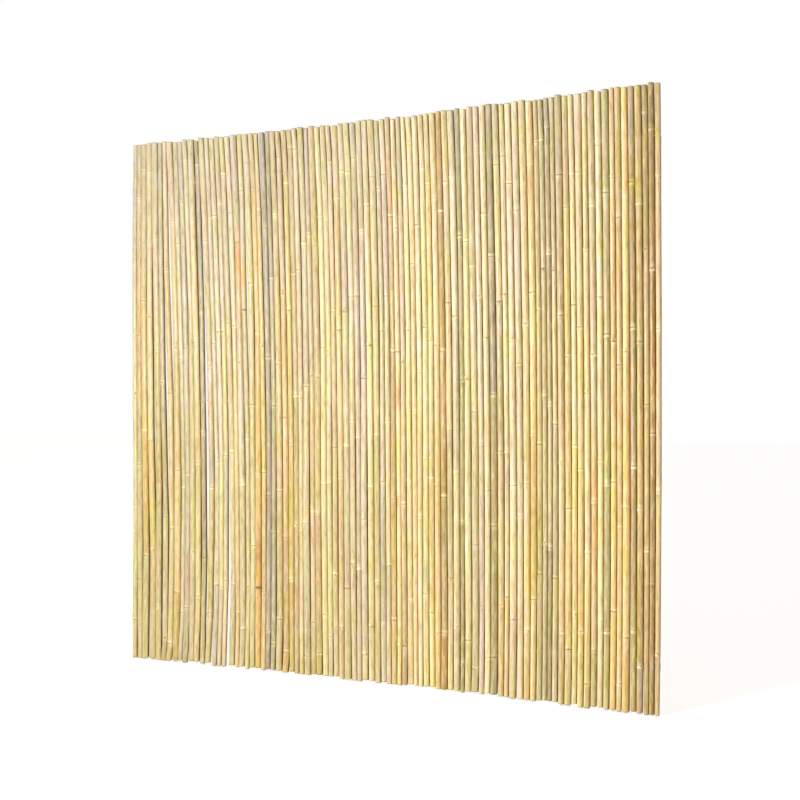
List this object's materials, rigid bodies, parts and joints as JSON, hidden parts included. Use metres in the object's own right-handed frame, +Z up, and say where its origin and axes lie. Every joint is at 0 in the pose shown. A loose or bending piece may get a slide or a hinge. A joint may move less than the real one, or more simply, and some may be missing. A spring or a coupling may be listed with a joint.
{
  "type": "bamboo fence panel",
  "caption": "Upright screening panel: a row of natural bamboo canes of mixed thickness, drilled and threaded side by side on galvanised wires.",
  "frame": {"origin": "middle of the panel's foot, in the plane of its wires", "axes": "+X along the fence, to the right seen from the front; -Y faces the front; +Z up along the canes"},
  "size_m": [1.9036, 0.0345, 1.8255],
  "materials": {
    "bamboo_straw": "smooth, satin, dry",
    "bamboo_honey": "smooth, satin, dry",
    "bamboo_grey": "smooth, dull, weathered",
    "bamboo_green": "smooth, satin, dry",
    "galvanised_wire": "dull zinc"
  },
  "bodies": {
    "root": {"canes_01_02": "bamboo_straw", "canes_03_04": "bamboo_honey", "canes_05_06": "bamboo_straw", "canes_07_08": "bamboo_honey", "canes_09_10": "bamboo_grey", "canes_11_12": "bamboo_straw", "canes_13_14": "bamboo_straw", "canes_15_16": "bamboo_grey", "canes_17_18": "bamboo_straw", "canes_19_20": "bamboo_straw", "canes_21_22": "bamboo_green", "canes_23_24": "bamboo_honey", "canes_25_26": "bamboo_grey", "canes_27_28": "bamboo_honey", "canes_29_30": "bamboo_honey", "canes_31_32": "bamboo_straw", "canes_33_34": "bamboo_honey", "canes_35_36": "bamboo_green", "canes_37_38": "bamboo_honey", "canes_39_40": "bamboo_grey", "canes_41_42": "bamboo_grey", "canes_43_44": "bamboo_straw", "canes_45_46": "bamboo_grey", "canes_47_48": "bamboo_honey", "canes_49_50": "bamboo_straw", "canes_51_52": "bamboo_straw", "canes_53_54": "bamboo_green", "canes_55_56": "bamboo_honey", "canes_57_58": "bamboo_grey", "canes_59_60": "bamboo_green", "canes_61_62": "bamboo_grey", "canes_63_64": "bamboo_green", "canes_65_66": "bamboo_straw", "canes_67_68": "bamboo_grey", "canes_69_70": "bamboo_honey", "canes_71_72": "bamboo_green", "canes_73_74": "bamboo_green", "canes_75_76": "bamboo_straw", "canes_77_78": "bamboo_straw", "canes_79_80": "bamboo_straw", "canes_81_82": "bamboo_green", "canes_83_84": "bamboo_honey", "canes_85_86": "bamboo_honey", "canes_87_88": "bamboo_straw", "canes_89_90": "bamboo_honey", "wire_bottom": "galvanised_wire", "wire_middle": "galvanised_wire", "wire_top": "galvanised_wire"}
  },
  "joints": []
}
